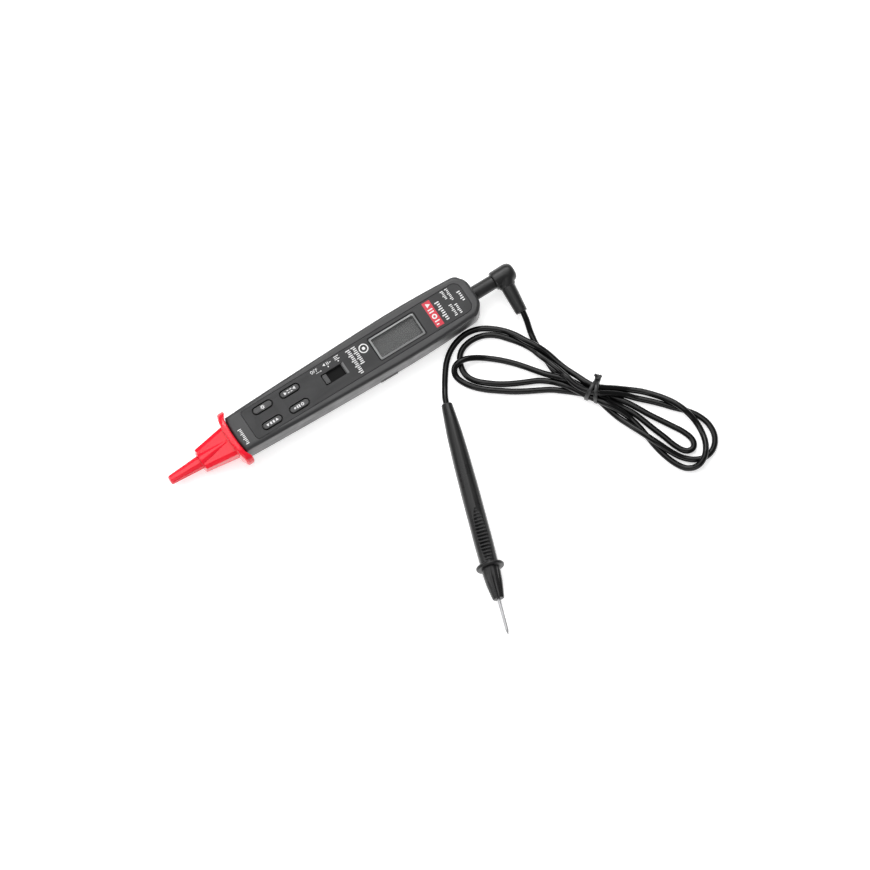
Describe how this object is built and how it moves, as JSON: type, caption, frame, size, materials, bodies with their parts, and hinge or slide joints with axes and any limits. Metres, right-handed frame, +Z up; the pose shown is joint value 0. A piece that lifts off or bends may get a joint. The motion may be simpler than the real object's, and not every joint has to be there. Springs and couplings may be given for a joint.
{
  "type": "pen multimeter",
  "caption": "Pen-shaped digital multimeter with keys, slide switch, display, finger guard and capped tip, and a plugged-in test lead with probe.",
  "frame": {"origin": "under the middle of the meter's length and width, at the surface that it lies on", "axes": "+X along the meter from the capped tip to the tail, +Y across it, +Z up out of the display"},
  "size_m": [0.2855, 0.2035, 0.021],
  "materials": {
    "case_grey": "fine grain",
    "panel_grey": "satin",
    "window_clear": "clear",
    "display_glass": "satin",
    "inner_black": "satin",
    "strip_rubber": "matte",
    "board_green": "satin",
    "board_part": "satin",
    "plated_steel": "plated",
    "guard_red": "semi-gloss",
    "contact_brass": "bright",
    "wire_red": "satin",
    "key_grey": "satin",
    "plug_black": "satin",
    "lead_black": "satin",
    "needle_steel": "bright"
  },
  "bodies": {
    "meter": {"rear_case": "case_grey", "front_case": "case_grey", "face_panel": "panel_grey", "display_window": "window_clear", "lcd_glass": "display_glass", "lcd_holder": "inner_black", "contact_strips": "strip_rubber", "main_board": "board_green", "meter_chip": "inner_black", "board_parts": "board_part", "tact_switches": "plated_steel", "switch_base": "inner_black", "buzzer": "inner_black", "cell_1": "plated_steel", "cell_2": "plated_steel", "battery_springs": "plated_steel", "battery_plates": "plated_steel", "battery_door": "case_grey", "door_screw": "plated_steel", "case_screws": "plated_steel", "nose_guard": "guard_red", "probe_pin": "contact_brass", "pin_wire": "wire_red", "jack_insulator": "inner_black", "jack_barrel": "contact_brass", "jack_wire": "lead_black"},
    "tip_cap": {"tip_cap": "guard_red"},
    "selector": {"range_knob": "key_grey", "knob_wipers": "contact_brass"},
    "key_1": {"key_1": "key_grey"},
    "key_2": {"key_2": "key_grey"},
    "key_3": {"key_3": "key_grey"},
    "key_4": {"key_4": "key_grey"},
    "lead": {"plug_pin": "contact_brass", "plug_sleeve": "plug_black", "plug_elbow": "plug_black", "plug_boot": "plug_black", "lead_run_plug": "lead_black", "lead_hank": "lead_black", "lead_run_probe": "lead_black", "cord_tie": "lead_black", "probe_handle": "plug_black", "probe_wire": "lead_black", "needle_crimp": "contact_brass", "probe_needle": "needle_steel"}
  },
  "joints": [
    {"name": "cap_pull", "type": "slide", "parent": "meter", "child": "tip_cap", "axis": [-1, 0, 0], "range_m": [0, 0.024]},
    {"name": "lead_unplug", "type": "slide", "parent": "meter", "child": "lead", "axis": [1, 0, 0], "range_m": [0, 0.02]},
    {"name": "range_select", "type": "slide", "parent": "meter", "child": "selector", "axis": [1, 0, 0], "range_m": [0, 0.01]},
    {"name": "key_1_press", "type": "slide", "parent": "meter", "child": "key_1", "axis": [0, 0, -1], "range_m": [0, 0.0005], "stiffness_N_per_m": 800, "springref_m": -0.001},
    {"name": "key_2_press", "type": "slide", "parent": "meter", "child": "key_2", "axis": [0, 0, -1], "range_m": [0, 0.0005], "stiffness_N_per_m": 800, "springref_m": -0.001},
    {"name": "key_3_press", "type": "slide", "parent": "meter", "child": "key_3", "axis": [0, 0, -1], "range_m": [0, 0.0005], "stiffness_N_per_m": 800, "springref_m": -0.001},
    {"name": "key_4_press", "type": "slide", "parent": "meter", "child": "key_4", "axis": [0, 0, -1], "range_m": [0, 0.0005], "stiffness_N_per_m": 800, "springref_m": -0.001}
  ]
}
